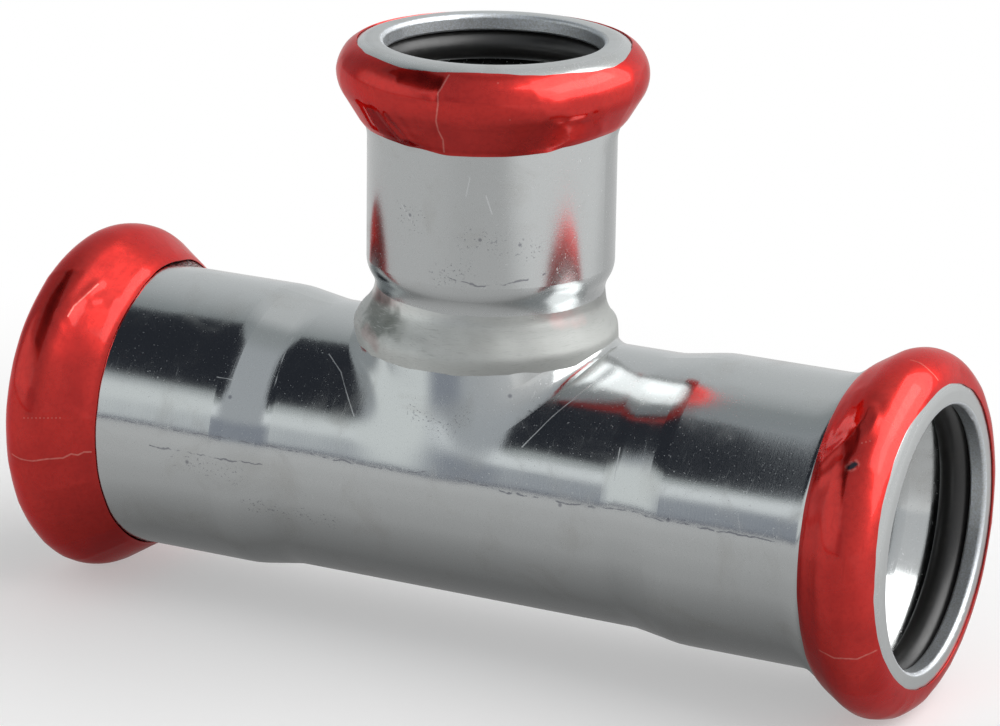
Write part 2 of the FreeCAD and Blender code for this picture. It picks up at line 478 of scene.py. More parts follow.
def zincSteel(name, look, marks, along, mouth, brushed=None, collar=None):
    # along is the tube's axis: 0 for the run, 2 for the branch
    f = Finish(name)
    squeeze = squeezed(along, look["lineStretch"])
    lines = f.grain(look["lineWidth"] * look["lineStretch"], *look["lineGrain"], stretch=squeeze)
    specks = f.grain(*look["speckGrain"])
    haze = f.patches(*look["haze"])
    wave = f.grain(*look["waveGrain"])
    axes = f.split(f.place())
    radius = f.hypot(*(axes[i] for i in range(3) if i != along))
    reach = abs(axes[along]) + f.fade(axes[along], 1.0, -1.0, 0.0, mouth["leftShort"])

    # the cut edge of the sheet at each mouth, the flat ring in front of it, and the bore behind it
    edge = f.fadeFrom(reach, mouth["mouth"], look["edgeDepth"])
    edge = edge * f.fadeFrom(radius, mouth["edgeRadius"], look["edgeOver"])
    edgeGrain = f.grain(*look["edgeGrain"])
    ring = f.fadeFrom(reach, mouth["mouth"], look["ringDepth"])
    inside = f.fadeFrom(radius, mouth["boreRadius"], look["boreOver"])

    colour = f.blend(haze * look["hazeShare"], look["colour"], look["dullColour"])
    for tint in look["speckTints"]:
        colour = f.tinted(colour, specks, *tint)
    colour = f.blend(inside * look["boreShare"], colour, look["dullColour"])
    colour = f.blend(edge * f.fade(edgeGrain, *look["edgeFade"]), colour, look["edgeColour"])
    clean = marks["roughness"]
    roughness = clean + haze * (look["hazeRoughness"] - clean)
    roughness = roughness + f.fade(specks, *look["speckFade"]) * look["speckRough"]
    roughness = roughness + f.most([edge * look["edgeRough"], inside * (look["boreRoughness"] - clean)])
    roughness = roughness + ring * look["ringRough"]
    if brushed:
        worn = f.fade(axes[2] + wave * brushed["wander"], brushed["from"], brushed["to"])
        roughness = roughness + worn * (brushed["roughness"] - clean)

    wear = zincWear(f, look, marks)
    colour = f.blend(f.strongest(wear, look["brightWear"]), colour, look["brightColour"])
    # darker with dirt, specks, pits and the run's painted horizon reflection
    colour = f.blend(f.strongest(wear, look["darkWearAndReflection"]), colour, look["darkWearAndReflectionColour"])
    roughness = roughness + f.strongest(wear, look["roughWear"])

    height = wave * look["waveDepth"] + lines * look["lineDepth"] + specks * look["speckDepth"]
    height = height + edge * edgeGrain * look["edgeRelief"]
    normal = collarNormal(f, collar) if collar else f.node("NewGeometry", out="Normal")
    outward = f.toward(*(0.0 if i == along else axes[i] for i in range(3)))
    normal = toeNormal(f, look, mouth, normal, reach, radius, outward)
    normal = f.bump(height, normal)
    return f.closeSolid({"Base Color": colour, "Metallic": 1.0, "Roughness": roughness, "Normal": normal})


repaint("run_body", zincSteel("zincRun", zincLook, runMarks, 0, runMouth, collar=drawnCollar))
repaint("branch_socket", zincSteel("zincBranch", zincLook, branchMarks, 2, branchMouth, brushedNeck))
print("zinc finish on the run and the branch")

# Sealing rings
sealLook = {
    "colour": (0.016, 0.016, 0.016),
    "dustColour": (0.038, 0.035, 0.030),
    "dust": ((0.6, 4.0), (0.5, 0.8)),
    "dustShare": 0.35,
    "dustRough": 0.12,
    "roughness": 0.36,
    "sheen": (0.24, 0.22, 0.19),
    "sheenWeight": 0.08,
    "fineGrain": (0.15, 2.0),
    "fineDepth": 0.002,
    "waveGrain": (2.0, 1.0),
    "waveDepth": 0.01,
}


def sealRubber(look):
    f = Finish("sealRubber")
    dust = f.patches(*look["dust"])
    height = f.grain(*look["fineGrain"]) * look["fineDepth"] + f.grain(*look["waveGrain"]) * look["waveDepth"]
    return f.closeSolid({
        "Base Color": f.blend(dust * look["dustShare"], look["colour"], look["dustColour"]),
        "Roughness": look["roughness"] + dust * look["dustRough"],
        "Sheen Weight": look["sheenWeight"],
        "Sheen Tint": look["sheen"],
        "Normal": f.bump(height),
    })


for nodeName in ("seal_left", "seal_right", "seal_branch"):
    repaint(nodeName, sealRubber(sealLook))
print("rubber on the three sealing rings")


def smoothRound(pairs, degrees):
    # a value that goes smoothly round the ring through these (degrees, value) pairs
    pairs = sorted(pairs)
    degrees = degrees % 360
    ring = [(pairs[-1][0] - 360, pairs[-1][1])] + pairs + [(pairs[0][0] + 360, pairs[0][1])]
    for (a, low), (b, high) in zip(ring, ring[1:]):
        if a <= degrees <= b:
            share = (degrees - a) / (b - a)
            return low + (high - low) * (3 - 2 * share) * share * share
    return ring[0][1]


def roundNoise(around, rate, third):
    # smooth noise from -1 to 1 that meets itself after one turn
    return noise.noise(Vector((around.x * rate, around.y * rate, third)))


def gridPiece(name, rows, material, nodeName, sharpRows=()):
    # a closed mesh from rows of points, each row a ring round the socket
    points = [p for row in rows for p in row]
    count = len(rows[0])
    faces = []
    for j in range(len(rows)):
        here, there = j * count, ((j + 1) % len(rows)) * count
        for i in range(count):
            k = (i + 1) % count
            faces.append((here + i, here + k, there + k, there + i))
    mesh = bpy.data.meshes.new(name)
    mesh.from_pydata([tuple(c * mm for c in p) for p in points], [], faces)
    mesh.validate()
    mesh.polygons.foreach_set("use_smooth", [True] * len(mesh.polygons))
    for edge in mesh.edges:
        a, b = edge.vertices
        if a // count == b // count and a // count in sharpRows:
            edge.use_edge_sharp = True
    mesh.materials.append(material)
    piece = bpy.data.objects.new(name, mesh)
    bpy.context.scene.collection.objects.link(piece)
    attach(piece, "root")
    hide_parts(nodeName)
    return piece


# The weld: a brushed bead that runs up the neck and bulges over the collar (mm)
weldLook = {
    # its section at each angle, degrees from the front towards +X: (radius, height) from the neck down
    "sections": {
        0: [(9.86, 16.5), (10.04, 15.2), (10.46, 14.1), (11.08, 13.2), (11.46, 12.4), (11.40, 11.2)],
        60: [(9.86, 16.5), (10.02, 15.2), (10.40, 14.15), (10.94, 13.3), (11.30, 12.6), (11.30, 11.45)],
        115: [(9.86, 16.6), (9.99, 15.2), (10.22, 14.2), (10.62, 13.4), (11.06, 12.8), (11.18, 11.2)],
        180: [(9.86, 16.5), (10.04, 15.2), (10.46, 14.1), (11.06, 13.2), (11.44, 12.4), (11.40, 11.2)],
        270: [(9.86, 16.8), (10.14, 15.4), (10.74, 14.4), (11.46, 13.6), (11.86, 12.6), (11.55, 11.2)],
    },
    "innerRadius": 10.95,
    "neckRadius": 9.92,
    "collarTop": 12.95,
    "runRadius": 11.945,
    "footGap": 0.06,             # between its lower edge and the run
    "lipHeight": 0.5,            # the least from the lower edge up to the bulge
    "lumps": 0.10,
    "lumpRate": (3.2, 0.45),     # round the neck and up it
    "lumpsOut": 1.1,             # how soon they go out towards the lower edge
    "edgeWander": 0.20,          # how far its lower edge strays up and down
    "edgeRate": (5.5, 3.0),      # how often, and which of the many ways it can stray
    "colour": (0.60, 0.615, 0.595),
    "paleColour": (0.72, 0.735, 0.715),
    "paleFade": (0.34, 0.66),
    "paintedSideShade": ((-5, 9), 0.9, (0.27, 0.277, 0.268)),      # painted shade: the right, which the lamp lights most, is made darker than the left
    "strokeTint": ((0.54, 0.70), 0.36, (0.20, 0.205, 0.20)),
    "strokeWidth": 0.07,         # the wire brush's strokes
    "strokeLength": 1.1,
    "strokeRagged": 0.6,
    "strokeDepth": 0.011,
    "swirlGrain": (5.0, 2.0),
    "swirl": 1.6,
    "patchGrain": (2.4, 3.0, 0.55),
    "patchRough": 0.12,
    "patchDepth": 0.02,
    "speckGrain": (0.14, 3.0, 0.7),
    "speckTint": ((0.38, 0.26), 0.5, (0.16, 0.16, 0.15)),
    "speckDepth": 0.003,
    "patchStrokeFade": (0.20, 0.45),
    "darkPatchesAndFilmReflections": [                  # darker patches, and painted reflections of the red film in the two reddish ones: pixels, width in mm, strength and colour
        ([(371, 305), (376, 313), (381, 322)], 2.3, 0.62, (0.10, 0.12, 0.10)),
        ([(388, 318), (396, 330)], 1.4, 0.30, (0.18, 0.19, 0.17)),
        # painted reflections of the red film
        ([(366, 330), (372, 337), (377, 344)], 0.9, 0.28, (0.42, 0.22, 0.21)),
        ([(556, 321), (572, 324), (588, 320)], 0.9, 0.22, (0.60, 0.34, 0.33)),
        ([(478, 338), (486, 342)], 1.6, 0.20, (0.20, 0.20, 0.19)),
    ],
    "roughness": 0.60,
    "polishFrom": (14.6, 15.7),  # its thin top, which the brush polished
    "polish": 0.36,
}


def weldFinish(look):
    f = Finish("weldBrushed")
    x, y, z = f.split(f.place())
    lifted = z + f.grain(*look["swirlGrain"]) * look["swirl"]
    length, width = look["strokeLength"], look["strokeWidth"]
    spot = f.node("CombineXYZ", values=[x / length, y / length, lifted / width])
    strokes = f.noiseAt(spot, roughness=look["strokeRagged"])
    patches = f.grain(*look["patchGrain"])
    specks = f.grain(*look["speckGrain"])
    pale = f.fade(strokes * 0.5 + patches * 0.5, *look["paleFade"])
    colour = f.blend(pale, look["colour"], look["paleColour"])
    colour = f.tinted(colour, specks, *look["speckTint"])
    # painted shade: the right side, which the lamp lights most, is darker
    colour = f.tinted(colour, x, *look["paintedSideShade"])
    colour = f.tinted(colour, strokes, *look["strokeTint"])
    # darker patches, and painted reflections of the red film
    for pixels, width, strength, patchColour in look["darkPatchesAndFilmReflections"]:
        patchMask = f.mark(seenLine(pixels), width, width * 0.5) * f.fade(strokes, *look["patchStrokeFade"])
        colour = f.blend(patchMask * strength, colour, patchColour)
    polished = f.fade(z, *look["polishFrom"])
    roughness = look["roughness"] + patches * look["patchRough"] - polished * look["polish"]
    height = strokes * look["strokeDepth"] + specks * look["speckDepth"] + patches * look["patchDepth"]
    normal = f.bump(height)
    return f.closeSolid({"Base Color": colour, "Metallic": 1.0, "Roughness": roughness, "Normal": normal})


def alongCurve(points, share):
    # a smooth curve through the points
    spots = [points[0]] + list(points) + [points[-1]]
    k = min(int(share * (len(points) - 1)), len(points) - 2)
    t = share * (len(points) - 1) - k
    a, b, c, d = spots[k:k + 4]
    return [
        0.5 * (2 * q + (r - p) * t + (2 * p - 5 * q + 4 * r - s) * t * t + (3 * q - p - 3 * r + s) * t ** 3)
        for p, q, r, s in zip(a, b, c, d)
    ]


def sectionAt(sections, degrees):
    # the section at any angle, from those given at a few
    def between(k, part):
        return smoothRound([(angle, section[k][part]) for angle, section in sections.items()], degrees)

    return [[between(k, 0), between(k, 1)] for k in range(len(sections[0]))]


def makeWeld(look, steps=300, down=34):
    rows = []
    for j in range(down + 1):
        row = []
        for i in range(steps):
            degrees = 360 * i / steps
            lean = Vector((math.sin(math.radians(degrees)), -math.cos(math.radians(degrees))))
            section = sectionAt(look["sections"], degrees)
            # the lower edge strays, but never into the run's surface under it
            run = math.sqrt(max(look["runRadius"] ** 2 - (section[-1][0] * lean.y) ** 2, 0))
            section[-1][1] += look["edgeWander"] * roundNoise(lean, *look["edgeRate"])
            section[-1][1] = max(section[-1][1], run + look["footGap"])
            section[-2][1] = max(section[-2][1], section[-1][1] + look["lipHeight"])
            radius, height = alongCurve(section, j / down)
            roundRate, upRate = look["lumpRate"]
            lift = roundNoise(lean, roundRate, height * upRate)
            radius += look["lumps"] * lift * math.sin(math.pi * min(j / down * look["lumpsOut"], 1))
            row.append((lean.x * radius, lean.y * radius, height))
        rows.append(row)
    # its hidden inside: in under the lip, up beside the collar and in over it to the neck
    inner, top, neck = look["innerRadius"], look["collarTop"], look["neckRadius"]
    for radius, height in ((inner, None), (inner, top), (neck, top)):
        row = []
        for x, y, z in rows[down]:
            wide = math.hypot(x, y)
            row.append((x * radius / wide, y * radius / wide, z if height is None else height))
        rows.append(row)
    gridPiece("weldRing", rows, weldFinish(look), "weld_bead", sharpRows=range(down, down + 4))


makeWeld(weldLook)
print("weld ring made")

# Film bands: thin shells shrunk over the beads (mm)
filmLook = {
    "colour": (0.54, 0.024, 0.019),
    "deepColour": (0.38, 0.011, 0.010),
    "deepShare": 0.45,
    "edgeTint": (1.0, 0.16, 0.13),
    "roughness": 0.27,
    "coat": 0.45,
    "coatRoughness": 0.06,
    "streakGrain": (5.0, 3.0, 0.6),      # streaks round the band
    "streakStretch": 7.0,
    "streakFade": (0.55, 0.75),
    "streakDepth": 0.008,
    "tint": ((4.5, 2.0), (0.45, 0.72)),
    "dull": ((3.0, 2.0), (0.4, 0.7)),
    "dullRough": 0.08,
    "mottleGrain": (0.45, 3.0, 0.6),
    "mottleTint": ((0.42, 0.70), 0.35, (0.38, 0.011, 0.010)),
    "mottleDepth": 0.003,
    "swellGrain": (2.2, 2.0),
    # pale lines: seams, torn lips and one painted crease highlight
    "swellDepth": 0.042,
    "paleLineColour": (0.75, 0.26, 0.22),
    "paleLineShare": 0.58,
    "paleLineWidth": 0.105,
    "dotWidth": 0.09,
    "torn": ((0.3, 2.0), (0.35, 0.60)),  # the film's torn edge round a hole
    "tornShare": 0.6,
    "tornWidth": 0.56,
    "holeWidth": 0.34,
    "holeRagged": 0.3,
    # painted shade inside the holes
    "holeShadeColour": (0.02, 0.02, 0.03),
    "paleLineStep": 9,                       # pixels between the points of a drawn line
    "holeStep": 20,
    "foldStep": 14,
    "thickness": 0.11,
    "gap": 0.03,
    "slope": 31.4,                       # degrees in which the bead's flank leans from its axis
    "toeRound": 3.0,
    "frontWander": (0.06, 9),            # how far the band's edges stray, and how often
    "rearWander": (0.05, 6),
    "crease": (0.05, 2.6, 0.10),         # soft relief everywhere: height, how often round, and along the axis
    "wave": (0.02, 7, 0.35),
    "liftEnds": (6, 9),                  # how soon the relief comes in at the front edge and the rear edge
    "crownRoom": 0.004,                  # the relief ends so far under the crown's top
    "crownShare": 0.9,                   # and takes up so much of the room under it
    "thinEnd": 14,                       # how soon the rear edge, which is half as thick, gets its thickness
}

# Each band lies over one bead: the place of its mouth, the radii of the bead's middle, its crown and the
# tube, then by degrees round from the front the radius of the band's front edge and the depth of its rear one
leftFilm = {
    "way": "left", "node": "film_left", "mouth": 41.1, "bead": 12.5, "crown": 3.05, "tube": 12.625,
    "front": [(0, 13.2), (60, 13.35), (120, 13.1), (180, 13.3), (250, 13.15), (310, 13.3)],
    "rear": [(0, 8.7), (60, 8.65), (100, 8.2), (120, 7.6), (140, 8.2), (200, 8.6), (300, 8.7)],
    "seamsAndCreaseHighlights": [
        [(12, 454), (21, 459), (33, 461), (47, 459), (63, 458), (71, 454), (78, 455), (84, 452), (91, 452)],
        # painted highlight along a crease, drawn like a seam
        [(98, 284), (83, 298), (74, 306), (68, 316)],
    ],
    "dots": [(x, 418) for x in range(24, 64, 4)],
    "holes": [],
    "folds": [                  # pixels, width and height in mm
        ([(59, 409), (72, 410), (81, 418), (76, 433), (64, 445), (50, 454)], 0.45, 0.06),
        ([(98, 284), (83, 298), (74, 306), (68, 316)], 0.45, 0.07),
        ([(92, 300), (104, 297), (112, 301)], 0.5, 0.06),
        ([(56, 322), (50, 345), (47, 372)], 1.0, 0.05),
        ([(12, 454), (33, 461), (63, 458), (91, 452)], 0.5, 0.07),
        ([(40, 395), (34, 440)], 1.2, 0.05),
        ([(55, 480), (60, 520)], 1.3, 0.05),
    ],
    "seed": 3,
}
rightFilm = {
    "way": "right", "node": "film_right", "mouth": 42.0, "bead": 12.5, "crown": 3.05, "tube": 12.625,
    "front": [
        (0, 13.75), (30, 14.05), (50, 14.05), (80, 13.45),
        (120, 12.95), (150, 12.75), (220, 12.8), (300, 12.7),
    ],
    "rear": [(0, 6.8), (30, 6.9), (65, 6.95), (120, 6.8), (200, 6.7), (300, 6.65), (330, 6.62)],
    "seamsAndCreaseHighlights": [
        [(911, 360), (920, 363), (930, 371), (938, 380)],
        [(819, 650), (834, 658), (857, 659), (875, 651), (885, 644)],
    ],
    "dots": [(862, 443), (866, 442), (870, 441)],
    "holes": [[(850, 467), (852, 465), (854, 463)]],
    "folds": [
        ([(872, 408), (868, 420), (859, 428)], 0.45, 0.10),
        ([(876, 416), (870, 430), (860, 438)], 0.40, 0.08),
        ([(824, 463), (834, 452), (843, 444)], 0.6, 0.12),
        ([(822, 478), (834, 468), (846, 462)], 0.6, 0.09),
        ([(845, 480), (842, 520), (840, 560)], 0.6, 0.07),
        ([(838, 590), (842, 640), (852, 680)], 0.7, 0.07),
        ([(826, 500), (820, 560), (822, 620)], 1.0, 0.05),
        ([(858, 392), (848, 412), (840, 430)], 0.7, 0.07),
    ],
    "seed": 8,
}
branchFilm = {
    "way": "up", "node": "film_branch", "mouth": 37.7, "bead": 10.3, "crown": 2.85, "tube": 10.7,
    "front": [
        (0, 11.9), (20, 11.66), (50, 12.0), (80, 12.2), (110, 11.7),
        (200, 11.8), (300, 11.57), (330, 11.76), (350, 12.0),
    ],
    "rear": [
        (10, 7.6), (30, 7.5), (50, 7.3), (60, 6.95), (80, 6.65),
        (150, 6.9), (250, 7.0), (330, 7.1), (350, 7.3),
    ],
    "seamsAndCreaseHighlights": [[
        (449, 75), (446, 80), (442, 87), (438, 93), (438, 104),
        (437, 112), (436, 121), (438, 130), (443, 140), (444, 152),
    ]],
    "dots": [(498, 83), (510, 120)],
    "holes": [],
    "folds": [
        ([(378, 108), (386, 120), (402, 138)], 0.45, 0.10),
        ([(388, 112), (398, 124), (409, 138)], 0.45, 0.10),
        ([(404, 116), (412, 132)], 0.5, 0.06),
        ([(449, 75), (438, 93), (436, 121), (444, 152)], 0.4, 0.06),
        ([(572, 117), (584, 115)], 0.6, 0.10),
        ([(598, 121), (604, 134)], 0.4, 0.07),
        ([(480, 103), (520, 107), (560, 104)], 0.5, 0.03),
        ([(365, 104), (374, 122)], 0.45, 0.06),
    ],
    "seed": 5,
}


def filmHoles(f, look, band, colour):
    # torn holes with pale lips, each hole painted near black as shade
    torn = f.patches(*look["torn"])
    holes = [seenLine(pixels, look["holeStep"]) for pixels in band["holes"]]
    lips, paintedHoleShade = (f.most([f.mark(points, look[width], look["holeRagged"]) for points in holes])
                  for width in ("tornWidth", "holeWidth"))
    colour = f.blend(lips * torn * look["tornShare"], colour, look["paleLineColour"])
    return f.blend(paintedHoleShade, colour, look["holeShadeColour"])


def filmFinish(name, look, band):
    f = Finish(name)
    # pale seams and dots, and a painted highlight along a crease on the left band
    seamAndHighlight = f.most([f.mark(seenLine(pixels, look["paleLineStep"]), look["paleLineWidth"]) for pixels in band["seamsAndCreaseHighlights"]])
    seamAndHighlight = f.most([seamAndHighlight, f.spots(band["dots"], look["dotWidth"])])
    along = 2 if band["way"] == "up" else 0
    streaks = f.grain(*look["streakGrain"], stretch=squeezed(along, look["streakStretch"]))
    mottle = f.grain(*look["mottleGrain"])
    deep = f.most([f.patches(*look["tint"]), f.fade(streaks, *look["streakFade"])])
    colour = f.blend(deep * look["deepShare"], look["colour"], look["deepColour"])
    # pale seams, and a painted highlight along a crease
    colour = f.blend(seamAndHighlight * look["paleLineShare"], colour, look["paleLineColour"])
    colour = f.tinted(colour, mottle, *look["mottleTint"])
    roughness = look["roughness"] + f.patches(*look["dull"]) * look["dullRough"]
    height = f.grain(*look["swellGrain"]) * look["swellDepth"] + streaks * look["streakDepth"]
    height = height + mottle * look["mottleDepth"]
    if band["holes"]:
        colour = filmHoles(f, look, band, colour)
    return f.closeSolid({
        "Base Color": colour, "Metallic": 1.0, "Roughness": roughness, "Specular Tint": look["edgeTint"],
        "Coat Weight": look["coat"], "Coat Roughness": look["coatRoughness"], "Normal": f.bump(height),
    })


def socketFrame(way):
    # the mouth's direction, then the directions of angle 0 (the front) and of angle 90
    if way == "left":
        return Vector((-1, 0, 0)), Vector((0, -1, 0)), Vector((0, 0, 1))
    if way == "right":
        return Vector((1, 0, 0)), Vector((0, -1, 0)), Vector((0, 0, 1))
    return Vector((0, 0, 1)), Vector((0, -1, 0)), Vector((1, 0, 0))


class BeadSection:
    # the outside of a bead in section: round the crown, down the slope, round the toe and on along the tube
    def __init__(self, look, band):
        self.slope, self.toe = math.radians(look["slope"]), look["toeRound"]
        self.crown, self.bead, self.tube = band["crown"], band["bead"], band["tube"]
        self.crownLength = self.crown * (self.slope + math.pi / 2)
        self.crownEnd = self.bead + self.crown * math.cos(self.slope)
        self.slopeStart = self.crown + self.crown * math.sin(self.slope)
        drop = self.crownEnd - self.tube - self.toe + self.toe * math.cos(self.slope)
        self.slopeLength = drop / math.sin(self.slope)
        self.toeStart = self.slopeStart + self.slopeLength * math.cos(self.slope)
        self.toeDepth = self.toeStart + self.toe * math.sin(self.slope)

    def at(self, length):
        # radius, depth from the mouth and the two parts of the outward direction, so far along the section
        if length < self.crownLength:
            turn = length / self.crown - math.pi / 2
            radius = self.bead + self.crown * math.cos(turn)
            depth = self.crown + self.crown * math.sin(turn)
        elif length - self.crownLength < self.slopeLength:
            turn = self.slope
            radius = self.crownEnd - (length - self.crownLength) * math.sin(turn)
            depth = self.slopeStart + (length - self.crownLength) * math.cos(turn)
        else:
            past = length - self.crownLength - self.slopeLength
            turn = self.slope - min(past / self.toe, self.slope)
            radius = self.tube + self.toe - self.toe * math.cos(turn)
            depth = self.toeDepth - self.toe * math.sin(turn) + max(past - self.toe * self.slope, 0)
        return radius, depth, math.cos(turn), math.sin(turn)

    def frontLength(self, radius):
        # where the front of the crown has this radius
        return self.crown * (math.pi / 2 - math.acos(min(max((radius - self.bead) / self.crown, -1), 1)))

    def lengthAt(self, depth):
        # where the section behind the crown has this depth
        if depth < self.toeStart:
            return self.crownLength + (depth - self.slopeStart) / math.cos(self.slope)
        toeLength = self.crownLength + self.slopeLength
        if depth < self.toeDepth:
            return toeLength + self.toe * (self.slope - math.asin((self.toeDepth - depth) / self.toe))
        return toeLength + self.toe * self.slope + depth - self.toeDepth


class Fold:
    # a fold of the film along a line that the photograph shows
    def __init__(self, pixels, width, height, step):
        self.points, self.width, self.height = seenLine(pixels, step), width, height
        self.middle = sum(self.points, Vector()) / len(self.points)
        self.reach = max((point - self.points[0]).length for point in self.points) + 3 * width

    def liftAt(self, spot):
        if (spot - self.middle).length >= self.reach:
            return 0
        return self.height * math.exp(-(self.gapTo(spot) / self.width) ** 2)

    def gapTo(self, spot):
        best = math.inf
        for a, b in zip(self.points, self.points[1:]):
            run = b - a
            share = min(max((spot - a).dot(run) / run.length_squared, 0), 1)
            best = min(best, (spot - a - run * share).length_squared)
        return math.sqrt(best)


def makeFilm(band, look, steps=400, across=56):
    out, front, up = socketFrame(band["way"])
    section = BeadSection(look, band)
    folds = [Fold(*fold, look["foldStep"]) for fold in band["folds"]]
    frontWander, frontRate = look["frontWander"]
    rearWander, rearRate = look["rearWander"]
    creaseHigh, creaseRound, creaseAlong = look["crease"]
    waveHigh, waveRound, waveAlong = look["wave"]
    frontSoon, rearSoon = look["liftEnds"]
    crownTop = band["bead"] + band["crown"] + look["gap"] + look["thickness"] - look["crownRoom"]
    outer, inner = [], []
    for j in range(across + 1):
        share = j / across
        outerRow, innerRow = [], []
        for i in range(steps):
            degrees = 360 * i / steps
            angle = math.radians(degrees)
            around = Vector((math.cos(angle), math.sin(angle), band["seed"]))
            frontRadius = smoothRound(band["front"], degrees) + frontWander * noise.noise(around * frontRate)
            rearNoise = noise.noise(around * rearRate + Vector((9, 0, 0)))
            rearDepth = smoothRound(band["rear"], degrees) + rearWander * rearNoise
            start = section.frontLength(frontRadius)
            length = start + (section.lengthAt(rearDepth) - start) * share
            radius, depth, outR, outD = section.at(length)
            radial = front * math.cos(angle) + up * math.sin(angle)
            spot = out * (band["mouth"] - depth) + radial * radius
            # relief: the folds that the photograph shows, then soft creases and waves everywhere
            lift = sum(fold.liftAt(spot) for fold in folds)
            crease = 1 - 2 * abs(roundNoise(around, creaseRound, band["seed"] + depth * creaseAlong))
            lift += creaseHigh * max(crease, 0) ** 3
            lift += waveHigh * (1 + roundNoise(around, waveRound, depth * waveAlong))
            lift *= min(share * frontSoon, (1 - share) * rearSoon, 1)
            lift = min(lift, max(crownTop - radius, 0) * look["crownShare"])
            rise = look["gap"] + lift
            shell = look["thickness"] * (0.5 + 0.5 * min((1 - share) * look["thinEnd"], 1))
            for row, high in ((outerRow, rise + shell), (innerRow, rise)):
                place = out * (band["mouth"] - depth - high * outD) + radial * (radius + high * outR)
                row.append(tuple(place))
        outer.append(outerRow)
        inner.append(innerRow)
    rows = outer + inner[::-1]
    if band["way"] == "left":
        rows = [row[::-1] for row in rows]
    piece = gridPiece(band["node"].replace("_", ".") + ".band", rows, None, band["node"],
                      sharpRows=(0, across, across + 1, 2 * across + 1))
    nodeTrees.append(BVHTree.FromObject(piece, bpy.context.evaluated_depsgraph_get()))
    piece.data.materials[0] = filmFinish("redFilm" + band["way"].capitalize(), look, band)


for band in (leftFilm, rightFilm, branchFilm):
    makeFilm(band, filmLook)
    print("film made:", band["node"])

# Studio: a pale floor, a soft sky, one soft lamp and the dark window that the metal mirrors (mm and degrees)
studio = {
    "floorZ": -15.72,
    "floorSize": 8000,
    "floorColour": (0.90, 0.90, 0.90),
    "runHalf": 30,               # "from the run" is from a line under it, so long to each side
    "nearFloor": (20, 95),       # from the run, where the floor goes over to plain white
    "paleShadow": 0.38,          # how much plain white there is in the shadow itself
    "paintedFloorShade": [              # painted shadow: how bright the metal mirrors the floor, dark near the run, by the distance from it
        (8, 0.22), (16, 0.37), (24, 0.53), (45, 0.64), (130, 0.70), (300, 0.70),
    ],
    "paintedLeftLight": 0.10,           # painted light: how much brighter that is at the left and the right, and from where on
    "leftFrom": (20, -90),
    "paintedRightLight": 0.50,
    "rightFrom": (30, 95),
    "rightSlant": (0.5, 0.2),    # how the bright part widens towards the back and the front
    "rightNear": 32,             # how much nearer the bright floor comes on the right
    "rightNearFrom": (30, 60),
    "sky": 0.42,
    "skyRound": [                # the mirrored sky by degrees round from the front
        (-180, (0.92, 0.93, 0.93)), (-145, (0.78, 0.80, 0.81)), (-115, (0.42, 0.45, 0.46)),
        (-85, (0.41, 0.44, 0.46)), (-40, (0.56, 0.59, 0.62)), (0, (0.60, 0.63, 0.66)),
        (22, (0.66, 0.68, 0.70)), (48, (0.86, 0.87, 0.88)), (75, (1.18, 1.18, 1.18)),
        (125, (1.25, 1.25, 1.25)), (158, (1.05, 1.05, 1.05)), (180, (0.92, 0.93, 0.93)),
    ],
    "skyTop": (0.46, 0.49, 0.50),
    "topFrom": (70, 86),
    "skyStrength": 2.0,          # a ramp's colours go up to 1, so all are made this much weaker there
    "zones": [                   # turn and rise, each soft at both ends, and the colour
        {"turn": (-95, -82, -34, -14), "rise": (1, 4, 24, 32), "colour": (1.03, 1.07, 1.07)},
        {"turn": (-32, -27, -21, -13), "rise": (14, 18, 24, 30), "colour": (1.12, 1.16, 1.18)},
        {"turn": (-36, -18, -6, 8), "rise": (0, 2, 12, 18), "colour": (0.38, 0.41, 0.47)},
        {"turn": (-62, -48, -12, -2), "rise": (-1, 0, 1.1, 2.0), "colour": (0.12, 0.13, 0.18)},
    ],
    "lampTurn": 108,
    "lampRise": 40,
    "lampAway": 600,
    "lampSize": (900, 680),
    "lampPower": 4.5,
    "brightAway": 560,           # the lamp's middle, brighter, as the gloss shows it
    "brightSize": (540, 200),
    "brightLevel": 5.5,
    "windowHeight": 300,
    "windowCorners": [
        (-164, 62), (-112, -28), (-90, -60), (-82, -110), (-81, -170), (-86, -220), (-98, -290), (-112, -350),
        (-131, -400), (-152, -440), (-180, -520), (-212, -580), (-260, -620), (-330, -560), (-331, -400),
        (-322, -290), (-312, -60), (-207, 38),
    ],
    "windowColour": (0.030, 0.034, 0.044),
    "windowEndColour": (0.62, 0.66, 0.66),
    "windowSlant": (-0.75, -0.66),
    "windowEnd": (535, 445),     # out along the slanted way in which its front end goes soft
}


def stagePiece(name, corners, material):
    mesh = bpy.data.meshes.new(name)
    mesh.from_pydata([tuple(c * mm for c in corner) for corner in corners], [], [tuple(range(len(corners)))])
    mesh.materials.append(material)
    piece = bpy.data.objects.new(name, mesh)
    bpy.context.scene.collection.objects.link(piece)
    return piece


def rectangle(wide, high, z):
    ways = ((-1, -1), (1, -1), (1, 1), (-1, 1))
    return [(x * wide / 2, y * high / 2, z) for x, y in ways]


def glossOnly(card):
    card.visible_camera = card.visible_diffuse = card.visible_shadow = card.visible_transmission = False


def rayKinds(f):
    # 1 for what the camera sees straight, and 1 for what is mirrored or shines through
    paths = f.node("LightPath")
    kinds = {s.name: Wire(f, s) for s in paths.socket.node.outputs}
    notStraight = kinds["Is Glossy Ray"] + kinds["Is Transmission Ray"]
    return kinds["Is Camera Ray"], f.sum("MINIMUM", notStraight, 1.0)


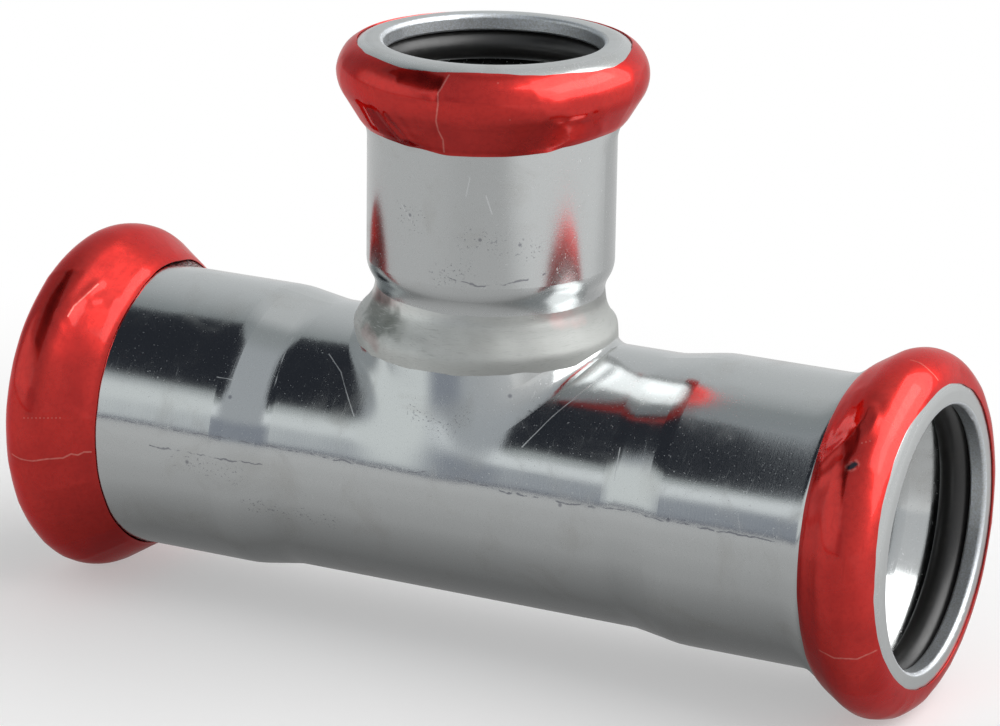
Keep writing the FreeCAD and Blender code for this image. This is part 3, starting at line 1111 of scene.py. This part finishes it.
def makeFloor(look):
    f = Finish("paleFloor")
    cameraRay, glossRay = rayKinds(f)
    x, y, _ = f.split(f.place())
    past = f.sum("MAXIMUM", abs(x) - look["runHalf"], 0.0)

    # as the camera sees it: pale, with a soft shadow, and plain white farther off
    plain = f.node("BsdfDiffuse", values={"Color": look["floorColour"]})
    white = f.glow((1, 1, 1))
    far = f.fade(f.hypot(past, y), *look["nearFloor"], look["paleShadow"], 1.0)
    surface = f.node("MixShader", values=[far * cameraRay, plain, white])

    # as the metal mirrors it: a painted shadow near the run, and painted light at both ends
    away = f.hypot(past + f.fade(x, *look["rightNearFrom"], 0.0, look["rightNear"]), y)
    span = look["paintedFloorShade"][-1][0]
    stops = [(gap / span, (level,) * 3) for gap, level in look["paintedFloorShade"]]
    paintedShade = f.node("ValToRGB", {"stops": stops}, [away / span])
    back, front = look["rightSlant"]
    slanted = f.sum("MINIMUM", x + y * back, x - y * front)
    brighter = f.fade(slanted, *look["rightFrom"], 1.0, 1 + look["paintedRightLight"])
    brighter = brighter + f.fade(x, *look["leftFrom"], 0.0, look["paintedLeftLight"])
    mirrored = f.glow(f.scaled(paintedShade, brighter))
    material = f.close(f.node("MixShader", values=[glossRay, surface, mirrored]))
    stagePiece("floor", rectangle(look["floorSize"], look["floorSize"], look["floorZ"]), material)


def makeSky(look):
    def weak(colour):
        return tuple(level / look["skyStrength"] for level in colour)

    world = bpy.data.worlds.new("softSky")
    bpy.context.scene.world = world
    f = Finish("softSky", world)
    cameraRay, glossRay = rayKinds(f)
    x, y, z = f.split(f.node("TexCoord", out="Generated"))
    turn = f.sum("ARCTAN2", x, 0 - y) * (180 / math.pi)
    rise = f.sum("ARCSINE", z) * (180 / math.pi)
    stops = [((degrees + 180) / 360, weak(colour)) for degrees, colour in look["skyRound"]]
    colour = f.node("ValToRGB", {"stops": stops}, [(turn + 180) / 360])
    colour = f.blend(f.fade(rise, *look["topFrom"]), colour, weak(look["skyTop"]))
    for zone in look["zones"]:
        mask = 1.0
        for angle, (start, full, fading, end) in ((turn, zone["turn"]), (rise, zone["rise"])):
            mask = f.fade(angle, start, full) * f.fade(angle, end, fading) * mask
        colour = f.blend(mask, colour, weak(zone["colour"]))
    plain = f.blend(cameraRay, weak((look["sky"],) * 3), weak((1, 1, 1)))
    colour = f.blend(glossRay, plain, colour)
    f.close(f.node("Background", values={"Color": colour, "Strength": look["skyStrength"]}))


def makeLamp(look):
    away = wayTo(look["lampTurn"], look["lampRise"])
    turned = away.to_track_quat("Z", "Y")
    lamp = bpy.data.lights.new("softLamp", "AREA")
    lamp.shape, lamp.energy = "RECTANGLE", look["lampPower"]
    lamp.size, lamp.size_y = (side * mm for side in look["lampSize"])
    holder = bpy.data.objects.new("softLamp", lamp)
    holder.matrix_world = Matrix.Translation(away * look["lampAway"] * mm) @ turned.to_matrix().to_4x4()
    bpy.context.scene.collection.objects.link(holder)
    f = Finish("brightMiddle")
    bright = f.close(f.glow((1, 1, 1), look["brightLevel"]))
    middle, flat = away * look["brightAway"], rectangle(*look["brightSize"], 0)
    glossOnly(stagePiece("brightMiddle", [turned @ Vector(corner) + middle for corner in flat], bright))


def makeWindow(look):
    f = Finish("darkWindow")
    x, y, _ = f.split(f.place())
    slantX, slantY = look["windowSlant"]
    solid = f.fade(x * slantX + y * slantY, *look["windowEnd"])
    colour = f.blend(solid, look["windowEndColour"], look["windowColour"])
    corners = [(*corner, look["windowHeight"]) for corner in look["windowCorners"]]
    glossOnly(stagePiece("darkWindow", corners, f.close(f.glow(colour))))


makeFloor(studio)
makeSky(studio)
makeLamp(studio)
makeWindow(studio)
bpy.context.scene.view_settings.view_transform = "Standard"
print("studio set")
